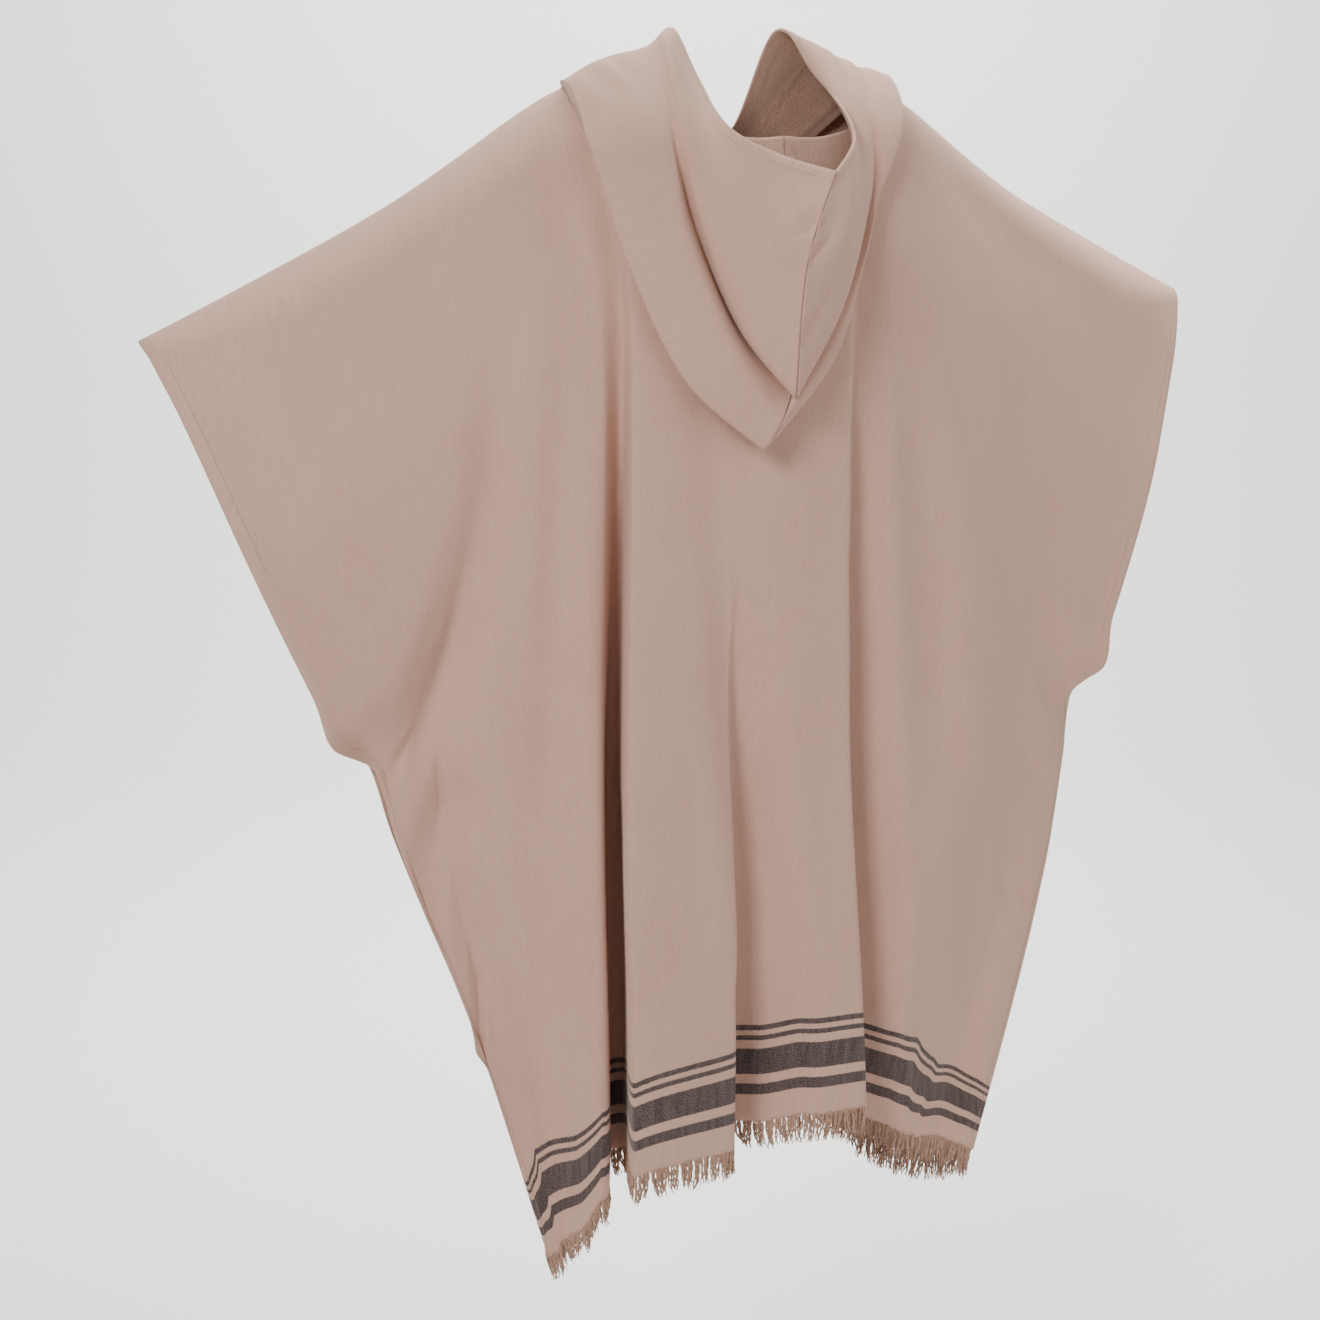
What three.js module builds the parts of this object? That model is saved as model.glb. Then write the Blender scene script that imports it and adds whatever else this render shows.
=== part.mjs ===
// Hooded bath poncho of flat-woven cotton, in the form it keeps when it is worn.
// Millimetres, +Z up, the back towards +Y, the wearer's left towards +X.
// The origin is the middle of the neck at the height of its sides, where the shoulders hold it.
// Every cloth piece is a thin wall on a middle surface that is worked out from the tables below.
import * as THREE from 'three';

// Sizes of the cloth.
const wall = 2;                 // thickness of the flat-woven cloth
const seamGap = 0.3;            // space left between two pieces at a seam
const halfWidth = 575;          // middle to cuff along the shoulder seam
const drop = 1005;              // shoulder seam to hem down the cloth
const neckHalf = 158;           // half width of the neck opening along the seam
const neckBack = 120;           // depth of the neck opening at the back
const neckFront = 165;          // depth of the neck opening at the front
const neckLift = 3.8;           // the hood's seam edge over the neck edge, middle to middle
const neckButt = 3.9;           // the same on the front, where the two edges meet end to end
const armhole = 430;            // shoulder seam to underarm down the side, open above, sewn below
const fringeGapBack = 2.3;      // hem to fringe strip, enough to clear the corners of the hem
const fringeGapFront = 1.6;
const fringeLength = 28;
const fringeBand = 3;           // height of the strip that holds the strands
const fringeCount = 80;         // strands along each hem
const rightArm = 0.955;         // the right arm is held a little nearer than the left
const rightLift = 0.95;         // and a little higher

// How fine the mesh is.
const panelRows = 14;
const backSteps = [5, 4, 2, 3, 6, 5, 2, 2, 3, 3, 5];       // columns between one fold line and the next
const frontSteps = [4, 4, 3, 5, 8, 2, 4, 5];
const hoodRowSteps = 3;
const hoodColumnSteps = 3;

// The shoulder seam: distance out along it, x, z and the radius of the turn over the shoulder.
const shoulder = [
  [0, 0, 2, 86],
  [95, 94, -8, 84],
  [166, 163, -33, 72],
  [212, 205, -57, 52],
  [256, 243, -82, 44],
  [335, 311, -124, 38],
  [460, 424, -181, 32],
  [575, 521, -227, 6],
];
// The two sides: distance down the cloth, x (outwards), y, z.
const leftSide = [
  [0, 521, -8, -227],
  [60, 494, 12, -280],
  [215, 438, 38, -412],
  [430, 362, 38, -600],
  [700, 272, 46, -835],
  [1005, 206, 50, -1066],
];
const rightSide = [
  [0, 498, -8, -218],
  [60, 480, 10, -278],
  [215, 430, 40, -412],
  [430, 362, 56, -608],
  [700, 292, 80, -845],
  [1005, 224, 102, -1034],
];
// The pinch under each arm: distance down, then x, y and z added at the very side.
const underarm = [
  [0, 0, 0, 0],
  [330, 0, 0, 0],
  [392, 9, 3, 4],
  [432, -11, -8, 8],
  [500, -4, -4, 2],
  [600, 0, 0, 0],
  [1005, 0, 0, 0],
];
// Half the opening between the two cuff edges: distance down the cloth, half opening.
const cuff = [[0, 0], [60, 15], [215, 37], [370, 26], [armhole, 0], [drop, 0]];
// How far the middle stands out from the line between the sides: distance down, stand.
const backStand = [[0, 0], [60, 52], [120, 78], [250, 96], [430, 100], [700, 80], [1005, 62]];
const frontStand = [[0, 0], [60, 52], [120, 80], [250, 140], [430, 168], [700, 200], [1005, 208]];
// How much higher the back's hem hangs than the shoulder's slope gives: place along the shoulder seam,
// rise at the hem.
const backRise = [
  [-575, 0], [-520, 22], [-430, 40], [-360, 40], [-290, 28], [-202, -1], [-158, -22], [-118, -28],
  [-80, -18], [-45, 12], [0, 9], [35, 0], [90, 0], [158, 17], [178, 10], [202, 0], [252, -18],
  [300, -19], [350, -10], [430, 0], [575, 0],
];
// How round the section is: distance down, power of the curve.
const roundness = [[0, 1.3], [250, 1.35], [430, 1.6], [700, 2.1], [1005, 2.3]];
// Folds, from the wearer's right to left: place on the shoulder seam, x at 200 and 500 down and at
// the hem, depth (below zero a ridge), width on its right and on its left, share of the drop where
// it starts and is full, and how far the cloth beside it leans over it, from its right or its left.
// Rows without depth are lines that start at the corners of the neck opening.
const backFolds = [
  [-400, -330, -280, -160, 26, 50, 45, 0.30, 1.00, 0],
  [-158, -150, -186, -142, 0, 30, 30, 0.00, 1.00, 0],
  [-118, -112, -135, -128, 8, 30, 40, 0.10, 0.60, 0],
  [-66, -60, -48, -79, 46, 36, 8, 0.08, 0.80, -15],
  [72, 72, 58, 52, 44, 44, 8, 0.40, 1.00, -9],
  [158, 136, 128, 112, -36, 40, 16, 0.05, 0.85, 0],
  [178, 150, 145, 130, 62, 9, 18, 0.05, 0.75, 44],
  [206, 178, 184, 168, -24, 13, 20, 0.20, 1.00, 0],
  [240, 222, 224, 178, 6, 24, 24, 0.15, 0.55, 0],
  [278, 256, 300, 194, 14, 24, 30, 0.15, 0.50, 0],
];
const frontFolds = [
  [-400, -335, -285, -185, 30, 40, 30, 0.30, 1.00, 0],
  [-205, -190, -175, -120, 60, 40, 34, 0.15, 0.90, 0],
  [-158, -148, -140, -92, 0, 30, 30, 0.00, 1.00, 0],
  [-52, -50, -45, -30, 50, 40, 40, 0.35, 1.00, 0],
  [130, 130, 115, 80, 65, 40, 40, 0.20, 0.90, 0],
  [158, 154, 145, 100, 0, 30, 30, 0.00, 1.00, 0],
  [325, 300, 260, 160, 40, 40, 30, 0.30, 1.00, 0],
];
// The hood, one row of cloth each from the face edge towards the neck seam. Along a row: the front of
// the throat, the cheek, the top of the shoulder, then down the back to the crown seam.
const hoodLeftRows = [
  { name: 'face edge', throat: [2, -74, -90], cheek: [34, -56, -60], top: [52, -10, 21],
    nape: [50, 42, -22], back: [56, 112, -61], low: [24, 142, -83], crown: [-12, 170, -96] },
  { name: 'crest', throat: [2, -74, -93], cheek: [40, -56, -64], top: [64, 0, 18],
    nape: [86, 86, -38], back: [83, 138, -106], low: [65, 186, -166], crown: [34, 206, -170] },
  { name: 'fold edge', throat: [3, -74, -96], cheek: [47, -56, -68], top: [75, 4, 9],
    nape: [95, 92, -50], back: [96, 140, -127], low: [75, 174, -214], crown: [33, 190, -270] },
  { name: 'trough', throat: [3, -74, -100], cheek: [55, -55, -72], top: [88, 2, 3],
    nape: [102, 89, -50], back: [96, 123, -132], low: [67, 148, -217], crown: [23, 169, -268] },
  { name: 'swag', throat: [3, -74, -104], cheek: [65, -55, -78], top: [124, 6, -5],
    nape: [125, 106, -61], back: [111, 145, -151], low: [85, 174, -232], crown: [40, 177, -298] },
  { name: 'outer fold', throat: [4, -74, -108], cheek: [74, -54, -84], top: [157, 4, -22],
    nape: [171, 94, -78], back: [155, 128, -166], low: [116, 153, -259], crown: [52, 166, -317] },
  { name: 'under layer', throat: [4, -74, -111], cheek: [80, -54, -87], top: [158, 3, -24],
    nape: [141, 80, -64], back: [112, 113, -114], low: [73, 142, -190], crown: [46, 154, -250] },
  { name: 'base', throat: [4, -74, -113], cheek: [84, -54, -89], top: [157, 1, -24],
    nape: [130, 76, -50], back: [99, 107, -84], low: [58, 130, -126], crown: [22, 142, -156] },
];
const hoodRightRows = [
  { name: 'face edge', throat: [-2, -74, -90], cheek: [-34, -56, -60], top: [-51, -10, 22],
    nape: [-64, 36, -14], back: [-61, 96, -46], low: [-48, 136, -71], crown: [-12, 170, -96] },
  { name: 'crest', throat: [-2, -74, -93], cheek: [-40, -56, -64], top: [-71, 0, 13],
    nape: [-66, 68, -29], back: [-60, 120, -79], low: [-16, 184, -138], crown: [34, 206, -170] },
  { name: 'fold edge', throat: [-3, -74, -96], cheek: [-47, -56, -68], top: [-86, 2, 6],
    nape: [-78, 78, -36], back: [-67, 126, -99], low: [-23, 172, -193], crown: [33, 190, -270] },
  { name: 'trough', throat: [-3, -74, -100], cheek: [-55, -55, -72], top: [-99, 1, 1],
    nape: [-90, 78, -40], back: [-77, 119, -103], low: [-30, 152, -194], crown: [23, 169, -268] },
  { name: 'swag', throat: [-3, -74, -104], cheek: [-65, -55, -78], top: [-117, 4, -7],
    nape: [-99, 91, -50], back: [-76, 130, -119], low: [-23, 161, -225], crown: [40, 177, -298] },
  { name: 'outer fold', throat: [-4, -74, -108], cheek: [-74, -54, -84], top: [-141, 6, -13],
    nape: [-121, 92, -53], back: [-66, 134, -138], low: [-24, 154, -242], crown: [52, 166, -317] },
  { name: 'under layer', throat: [-4, -74, -111], cheek: [-80, -54, -87], top: [-148, 4, -15],
    nape: [-122, 80, -54], back: [-80, 118, -116], low: [-22, 145, -190], crown: [46, 154, -250] },
  { name: 'base', throat: [-4, -74, -113], cheek: [-84, -54, -89], top: [-149, 1, -22],
    nape: [-119, 76, -47], back: [-91, 105, -82], low: [-34, 131, -124], crown: [22, 142, -156] },
];

const clamp = (value, low, high) => Math.min(high, Math.max(low, value));
const mix = (a, b, share) => a + (b - a) * share;
const ease = (value) => {
  const t = clamp(value, 0, 1);
  return t * t * (3 - 2 * t);
};

// A smooth value from one column of a table whose first column rises, without overshoot.
function read(table, column, at) {
  const last = table.length - 1;
  const x = (i) => table[i][0];
  const y = (i) => table[i][column];
  const slope = (i) => (y(i + 1) - y(i)) / (x(i + 1) - x(i));
  const tangent = (i) => {
    if (i === 0) return slope(0);
    if (i === last) return slope(last - 1);
    const before = slope(i - 1);
    const after = slope(i);
    return before * after <= 0 ? 0 : (2 * before * after) / (before + after);
  };
  let i = 0;
  while (i < last - 1 && at >= x(i + 1)) i += 1;
  const step = x(i + 1) - x(i);
  const t = clamp((at - x(i)) / step, 0, 1);
  return (1 + 2 * t) * (1 - t) ** 2 * y(i)
    + t * (1 - t) ** 2 * step * tangent(i)
    + t * t * (3 - 2 * t) * y(i + 1)
    + t * t * (t - 1) * step * tangent(i + 1);
}

// The cross section of a fold: 1 in its trough, 0 beyond its width.
function bell(distance) {
  const u = clamp(Math.abs(distance), 0, 1);
  return (1 - u * u) ** 2;
}

// The x of a point on the shoulder seam, out to the left for a positive distance.
function seamX(out) {
  return Math.sign(out) * read(shoulder, 1, Math.abs(out)) * (out > 0 ? 1 : rightArm);
}

// A smooth curve through a few points, cut into equal steps between one point and the next.
function thread(points, steps) {
  const smooth = [];
  for (let i = 0; i < points.length - 1; i += 1) {
    const a = points[Math.max(i - 1, 0)];
    const b = points[i];
    const c = points[i + 1];
    const d = points[Math.min(i + 2, points.length - 1)];
    for (let j = 0; j < steps; j += 1) {
      const t = j / steps;
      const point = b.clone().multiplyScalar(2 - 5 * t * t + 3 * t ** 3);
      point.addScaledVector(a, -t + 2 * t * t - t ** 3);
      point.addScaledVector(c, t + 4 * t * t - 3 * t ** 3);
      point.addScaledVector(d, -t * t + t ** 3);
      smooth.push(point.multiplyScalar(0.5));
    }
  }
  smooth.push(points[points.length - 1].clone());
  return smooth;
}

// One column of the panel: its place on the shoulder seam and how it runs between two fold lines.
function panelColumns(folds, steps) {
  const outs = [-halfWidth, ...folds.map((fold) => fold[0]), halfWidth];
  const columns = [];
  for (let gap = 0; gap < outs.length - 1; gap += 1) {
    for (let j = 0; j < steps[gap]; j += 1) {
      const share = j / steps[gap];
      columns.push({ gap, share, out: mix(outs[gap], outs[gap + 1], share) });
    }
  }
  columns.push({ gap: outs.length - 2, share: 1, out: halfWidth });
  return columns;
}

// How deep the neck opening cuts into a column.
function neckCut(out, depth) {
  const share = clamp(Math.abs(out) / neckHalf, 0, 1);
  return depth * (1 - share ** 2.4) ** 0.8;
}

// The middle of the cloth at distance s down from the shoulder seam, on the back (1) or front (-1).
function panelPoint(column, s, facing) {
  const { gap, share, out } = column;
  const folds = facing > 0 ? backFolds : frontFolds;
  const stand = facing > 0 ? backStand : frontStand;
  const reach = Math.abs(out) / halfWidth;
  const left = [1, 2, 3].map((i) => read(leftSide, i, s));
  const right = [1, 2, 3].map((i) => read(rightSide, i, s));
  right[0] = -right[0];
  const foldX = folds.map((fold) => {
    const line = [[0, seamX(fold[0])], [200, fold[1]], [500, fold[2]], [drop, fold[3]]];
    return read(line, 1, s);
  });
  const lineX = [right[0], ...foldX, left[0]];
  const lineTop = [seamX(-halfWidth), ...folds.map((fold) => seamX(fold[0])), seamX(halfWidth)];
  const straight = mix(lineTop[gap], lineTop[gap + 1], share);
  let x = mix(lineX[gap], lineX[gap + 1], share);
  x += (seamX(out) - straight) * (1 - ease(s / 150));
  const nearSide = reach ** 9;
  x += Math.sign(out) * nearSide * read(underarm, 1, s);

  const turn = read(shoulder, 3, Math.abs(out));
  const angle = Math.min(s / turn, Math.PI / 2);
  const fallMiddle = turn * (1 - Math.cos(angle)) + Math.max(s - turn * Math.PI / 2, 0) * 0.995;
  const fallSide = out > 0 ? -left[2] - 227 : -right[2] - 218;
  let z = read(shoulder, 2, Math.abs(out)) * (out > 0 ? 1 : rightLift);
  z -= mix(fallMiddle, fallSide, reach ** 2);
  z += nearSide * read(underarm, 3, s);
  if (facing > 0) z += read(backRise, 1, out) * (s / drop) ** 2;

  const across = (x - right[0]) / (left[0] - right[0]);
  const base = mix(right[1], left[1], across);
  const lens = 1 - clamp(Math.abs(2 * across - 1), 0, 1) ** read(roundness, 1, s);
  const overShoulder = base + facing * turn * Math.sin(angle);
  const below = base + facing * read(stand, 1, s) * lens;
  let y = mix(overShoulder, below, ease(s / 150));
  let depth = 0;
  let lean = 0;
  folds.forEach((fold, i) => {
    const away = x - foldX[i];
    const side = away < 0 ? fold[5] : fold[6];
    const grown = ease((s / drop - fold[7]) / (fold[8] - fold[7]));
    const width = side * (1 + grown);
    const beside = Math.abs(away) / width;
    depth += fold[4] * grown * bell(beside);
    if (away * fold[9] < 0) lean += fold[9] * grown * ease(beside) * (1 - ease((beside - 1) / 2.5));
  });
  const clearOfSides = ease((x - right[0]) / 40) * ease((left[0] - x) / 40);
  y -= facing * depth * clearOfSides;
  x += lean * clearOfSides;
  y += nearSide * read(underarm, 2, s);
  const open = reach ** 3 * read(cuff, 1, s);
  y += facing * open;
  if (facing > 0) x += 0.5 * open;
  if (facing < 0 && out > 0) x -= 0.5 * open;
  return new THREE.Vector3(x, y, z);
}

// The share of the way down a panel at one of its rows, which lie closer near the shoulder.
function rowShare(row) {
  return (row / panelRows) ** 1.15;
}

function panelGrid(facing) {
  const back = facing > 0;
  const columns = panelColumns(back ? backFolds : frontFolds, back ? backSteps : frontSteps);
  const grid = [];
  for (let row = 0; row <= panelRows; row += 1) {
    grid.push(columns.map((column) => {
      const cut = neckCut(column.out, back ? neckBack : neckFront);
      return panelPoint(column, mix(cut, drop, rowShare(row)), facing);
    }));
  }
  return grid;
}

// Where the hood meets the neck opening: distance out of its columns, on the front, then on the back.
const neckFrontOuts = [4, 88, 157];
const neckBackOuts = [124, 90, 46, 0];

// The neck edge of the panels, clear of them by the room that the seam needs: the hood butts to the
// front and lies over the back.
function neckLine(side, front, back) {
  const knots = [...neckFrontOuts.map((out) => [out, front]), ...neckBackOuts.map((out) => [out, back])];
  const line = [];
  for (let i = 0; i < knots.length - 1; i += 1) {
    const panel = i >= neckFrontOuts.length - 1 ? back : front;
    for (let j = 0; j < hoodColumnSteps; j += 1) {
      line.push(neckPoint(side * mix(knots[i][0], knots[i + 1][0], j / hoodColumnSteps), panel));
    }
  }
  line.push(neckPoint(0, back));
  return line;
}

function neckPoint(out, panel) {
  const outs = panel.columns.map((column) => column.out);
  const i = outs.findIndex((_, k) => out < outs[k + 1]);
  const share = (out - outs[i]) / (outs[i + 1] - outs[i]);
  const edge = panel.grid[0][i].clone().lerp(panel.grid[0][i + 1], share);
  const below = panel.grid[1][i].clone().lerp(panel.grid[1][i + 1], share);
  if (panel.facing < 0) return edge.addScaledVector(edge.clone().sub(below).normalize(), neckButt);
  const away = panel.normals[0][i].clone().lerp(panel.normals[0][i + 1], share).normalize();
  if (away.z + away.y < 0) away.negate();
  return edge.addScaledVector(away, neckLift + bell((Math.abs(out) - neckHalf) / 30));
}

function hoodGrid(rows, side, front, back) {
  const places = ['throat', 'cheek', 'top', 'nape', 'back', 'low', 'crown'];
  const lines = rows.map((row) => {
    const points = places.map((place) => new THREE.Vector3(...row[place]));
    return thread(points, hoodColumnSteps);
  });
  lines.push(neckLine(side, front, back));
  const grid = lines[0].map((_, column) => thread(lines.map((line) => line[column]), hoodRowSteps));
  return grid[0].map((_, row) => grid.map((line) => line[row]));
}

// Gives both halves one normal along the crown seam and draws them back from it by half a gap.
function closeCrown(left, right) {
  const normals = [gridNormals(left), gridNormals(right)];
  const last = left[0].length - 1;
  const count = left.length;
  const shared = normals[0].map((row, i) => row[last].clone().sub(normals[1][i][last]).normalize());
  const runs = left.map((row, i) => {
    const after = left[Math.min(i + 1, count - 1)][last];
    return after.clone().sub(left[Math.max(i - 1, 0)][last]);
  });
  [left, right].forEach((grid, half) => grid.forEach((row, i) => {
    normals[half][i][last].copy(shared[i]).multiplyScalar(half === 0 ? 1 : -1);
    const way = runs[i].clone().cross(shared[i]).normalize();
    const inwards = row[last - 1].clone().sub(row[last]);
    if (inwards.dot(way) < 0) way.negate();
    row[last].addScaledVector(way, seamGap * 1.2);
  }));
  return normals;
}

// The way out of the cloth at each middle point of a grid.
function gridNormals(grid) {
  const rows = grid.length;
  const columns = grid[0].length;
  return grid.map((row, i) => row.map((_, j) => {
    const normal = new THREE.Vector3();
    [[-1, -1], [-1, 0], [0, -1], [0, 0]].forEach(([di, dj]) => {
      const r = i + di;
      const c = j + dj;
      if (r < 0 || c < 0 || r >= rows - 1 || c >= columns - 1) return;
      const across = grid[r + 1][c + 1].clone().sub(grid[r][c]);
      const other = grid[r + 1][c].clone().sub(grid[r][c + 1]);
      normal.add(across.cross(other).normalize());
    });
    return normal.normalize();
  }));
}

// A closed wall of one thickness round a grid of middle points.
function wallGeometry(grid, thickness, normals = gridNormals(grid)) {
  const rows = grid.length;
  const columns = grid[0].length;
  const positions = [];
  [0.5, -0.5].forEach((side) => {
    grid.forEach((row, i) => row.forEach((point, j) => {
      const moved = point.clone().addScaledVector(normals[i][j], side * thickness);
      positions.push(moved.x, moved.y, moved.z);
    }));
  });
  const inner = rows * columns;
  const index = [];
  const quad = (a, b, c, d) => index.push(a, b, c, a, c, d);
  const at = (i, j) => i * columns + j;
  for (let i = 0; i < rows - 1; i += 1) {
    for (let j = 0; j < columns - 1; j += 1) {
      const [a, b, c, d] = [at(i, j), at(i + 1, j), at(i + 1, j + 1), at(i, j + 1)];
      quad(a, d, c, b);
      quad(a + inner, b + inner, c + inner, d + inner);
    }
  }
  for (let j = 0; j < columns - 1; j += 1) {
    quad(at(0, j), at(0, j) + inner, at(0, j + 1) + inner, at(0, j + 1));
    const low = at(rows - 1, j);
    quad(low, low + 1, low + 1 + inner, low + inner);
  }
  for (let i = 0; i < rows - 1; i += 1) {
    quad(at(i, 0), at(i + 1, 0), at(i + 1, 0) + inner, at(i, 0) + inner);
    const end = at(i, columns - 1);
    quad(end, end + inner, end + columns + inner, end + columns);
  }
  return closedGeometry(positions, index);
}

// A geometry whose faces look outwards whichever way its grid was laid.
function closedGeometry(positions, index) {
  const corner = (i) => new THREE.Vector3().fromArray(positions, 3 * i);
  let volume = 0;
  for (let k = 0; k < index.length; k += 3) {
    volume += corner(index[k]).dot(corner(index[k + 1]).cross(corner(index[k + 2])));
  }
  if (volume < 0) index.reverse();
  const geometry = new THREE.BufferGeometry();
  geometry.setAttribute('position', new THREE.Float32BufferAttribute(positions, 3));
  geometry.setIndex(index);
  geometry.computeVertexNormals();
  return geometry;
}

// A body panel: butted to the other one along the shoulder, laid flat against it down the sewn sides.
function bodyPanel(facing) {
  const back = facing > 0;
  const columns = panelColumns(back ? backFolds : frontFolds, back ? backSteps : frontSteps);
  const grid = panelGrid(facing);
  const last = columns.length - 1;
  grid.forEach((row) => {
    row[0].y += facing * (wall + seamGap) / 2;
    row[last].y += facing * (wall + seamGap) / 2;
  });
  const normals = gridNormals(grid);
  normals.forEach((row, i) => {
    if (drop * rowShare(i) < armhole) return;
    [0, last].forEach((j) => row[j].set(0, Math.sign(row[j].y), 0));
  });
  columns.forEach((column, j) => {
    if (Math.abs(column.out) < neckHalf) return;
    if (j > 0 && j < last) grid[0][j].y += facing * seamGap / 2;
    normals[0][j].setY(0).normalize();
  });
  return { facing, columns, grid, normals };
}

// Even places along the lower edge of a panel's grid, each with the way down and through the cloth.
function hemStations(grid, normals, count) {
  const hem = grid[grid.length - 1];
  const above = grid[grid.length - 2];
  const through = normals[grid.length - 1];
  const length = [0];
  for (let i = 1; i < hem.length; i += 1) length.push(length[i - 1] + hem[i].distanceTo(hem[i - 1]));
  const stations = [];
  for (let k = 0; k <= count; k += 1) {
    const want = mix(10, length[length.length - 1] - 10, k / count);
    let i = 0;
    while (length[i + 1] < want) i += 1;
    const share = (want - length[i]) / (length[i + 1] - length[i]);
    const point = hem[i].clone().lerp(hem[i + 1], share);
    const out = through[i].clone().lerp(through[i + 1], share).normalize();
    const down = point.clone().sub(above[i].clone().lerp(above[i + 1], share));
    down.addScaledVector(out, -down.dot(out)).normalize();
    stations.push({ point, down, through: out });
  }
  return stations;
}

// A strip under the hem with a tapered four-sided strand grown out of every second step.
function fringeGeometry(panel, gap, seed) {
  const stations = hemStations(panel.grid, panel.normals, 2 * fringeCount);
  const positions = [];
  const index = [];
  const add = (point) => positions.push(point.x, point.y, point.z) / 3 - 1;
  const quad = (a, b, c, d) => index.push(a, b, c, a, c, d);
  let state = seed;
  const random = () => {
    state = (state * 16807) % 2147483647;
    return state / 2147483647;
  };
  const rings = stations.map(({ point, down, through }) => {
    const top = point.clone().addScaledVector(down, gap);
    const low = top.clone().addScaledVector(down, fringeBand);
    const half = wall / 2;
    return [[top, 1], [low, 1], [low, -1], [top, -1]]
      .map(([place, side]) => add(place.clone().addScaledVector(through, side * half)));
  });
  quad(rings[0][0], rings[0][1], rings[0][2], rings[0][3]);
  for (let k = 0; k < stations.length - 1; k += 1) {
    const [a, b] = [rings[k], rings[k + 1]];
    quad(a[0], b[0], b[1], a[1]);
    quad(a[2], b[2], b[3], a[3]);
    quad(a[3], b[3], b[0], a[0]);
    const root = [a[1], b[1], b[2], a[2]];
    if (k % 2 === 1) {
      quad(...root);
      continue;
    }
    const reach = fringeLength * (0.72 + 0.28 * random());
    const { down, through } = stations[k];
    const along = stations[k + 1].point.clone().sub(stations[k].point).normalize();
    const shift = down.clone().multiplyScalar(reach)
      .addScaledVector(along, (random() - 0.5) * 3)
      .addScaledVector(through, (random() - 0.5) * 4);
    const middle = new THREE.Vector3();
    root.forEach((i) => middle.add(new THREE.Vector3().fromArray(positions, 3 * i)));
    middle.multiplyScalar(0.25);
    const tip = root.map((i) => {
      const corner = new THREE.Vector3().fromArray(positions, 3 * i).sub(middle);
      return add(corner.multiplyScalar(0.55).add(middle).add(shift));
    });
    root.forEach((corner, i) => {
      const next = (i + 1) % 4;
      quad(corner, root[next], tip[next], tip[i]);
    });
    quad(...tip);
  }
  const end = rings[rings.length - 1];
  quad(end[3], end[2], end[1], end[0]);
  return closedGeometry(positions, index);
}

const cotton = { color: 0xc2a795, roughness: 0.92, metalness: 0 };
const paleCotton = { color: 0xc9b09c, roughness: 0.95, metalness: 0 };

function cloth(name, geometry, look) {
  const mesh = new THREE.Mesh(geometry, new THREE.MeshStandardMaterial(look));
  mesh.name = name;
  return mesh;
}

const back = bodyPanel(1);
const front = bodyPanel(-1);
const hoodLeft = hoodGrid(hoodLeftRows, 1, front, back);
const hoodRight = hoodGrid(hoodRightRows, -1, front, back);
const [leftNormals, rightNormals] = closeCrown(hoodLeft, hoodRight);

const group = new THREE.Group();
group.name = 'bath_poncho';
group.add(cloth('back_panel', wallGeometry(back.grid, wall, back.normals), cotton));
group.add(cloth('front_panel', wallGeometry(front.grid, wall, front.normals), cotton));
group.add(cloth('hood_left', wallGeometry(hoodLeft, wall, leftNormals), cotton));
group.add(cloth('hood_right', wallGeometry(hoodRight, wall, rightNormals), cotton));
group.add(cloth('back_fringe', fringeGeometry(back, fringeGapBack, 7), paleCotton));
group.add(cloth('front_fringe', fringeGeometry(front, fringeGapFront, 11), paleCotton));

export default group;
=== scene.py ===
import math
import random

import bmesh
import bpy
import numpy as np
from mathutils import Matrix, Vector


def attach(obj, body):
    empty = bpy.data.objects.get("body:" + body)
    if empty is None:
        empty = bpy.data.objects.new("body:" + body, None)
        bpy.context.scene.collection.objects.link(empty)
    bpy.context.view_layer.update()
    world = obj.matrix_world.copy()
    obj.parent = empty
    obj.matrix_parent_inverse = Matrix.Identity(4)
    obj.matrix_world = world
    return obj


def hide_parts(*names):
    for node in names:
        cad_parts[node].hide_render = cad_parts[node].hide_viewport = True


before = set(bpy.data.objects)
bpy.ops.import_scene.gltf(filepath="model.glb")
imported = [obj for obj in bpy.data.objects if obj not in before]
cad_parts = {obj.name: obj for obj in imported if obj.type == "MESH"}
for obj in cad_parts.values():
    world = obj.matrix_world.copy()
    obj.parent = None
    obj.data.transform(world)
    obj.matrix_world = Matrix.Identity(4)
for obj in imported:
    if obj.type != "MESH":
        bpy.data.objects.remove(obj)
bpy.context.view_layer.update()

print("bath poncho: frame loaded")

# Lengths are millimetres up to the moment a mesh is made, then metres.
# x is the wearer's left, y the wearer's back, z up from the middle of the neck.

# The cut, the same sizes as the solids.
cut = {
    "wall": 2.0,            # thickness of the flat-woven cloth
    "seamGap": 0.3,         # room between two pieces at a seam
    "halfWidth": 575.0,     # middle to cuff along the shoulder seam
    "drop": 1005.0,         # shoulder seam to hem
    "neckHalf": 158.0,
    "neckBack": 120.0,
    "neckFront": 165.0,
    "neckLift": 3.8,        # the hood's seam edge over the neck edge, middle to middle
    "neckButt": 3.9,        # the same on the front, where the two edges meet end to end
    "armhole": 430.0,       # side is open above this distance, sewn below it
    "rightArm": 0.955,      # the right arm is held a little lower and nearer
    "rightLift": 0.95,
    "shoulderRoll": 150.0,  # the roll over the shoulder turns into the hanging section within this
    "slack": 0.995,         # share of its length that free-hanging cloth keeps after small waves
    "cuffTurn": 35.0,       # before the cuff the seam turns from edge to edge to face to face
    "sideRoom": 40.0,       # folds die out this near to the sides
}
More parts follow.
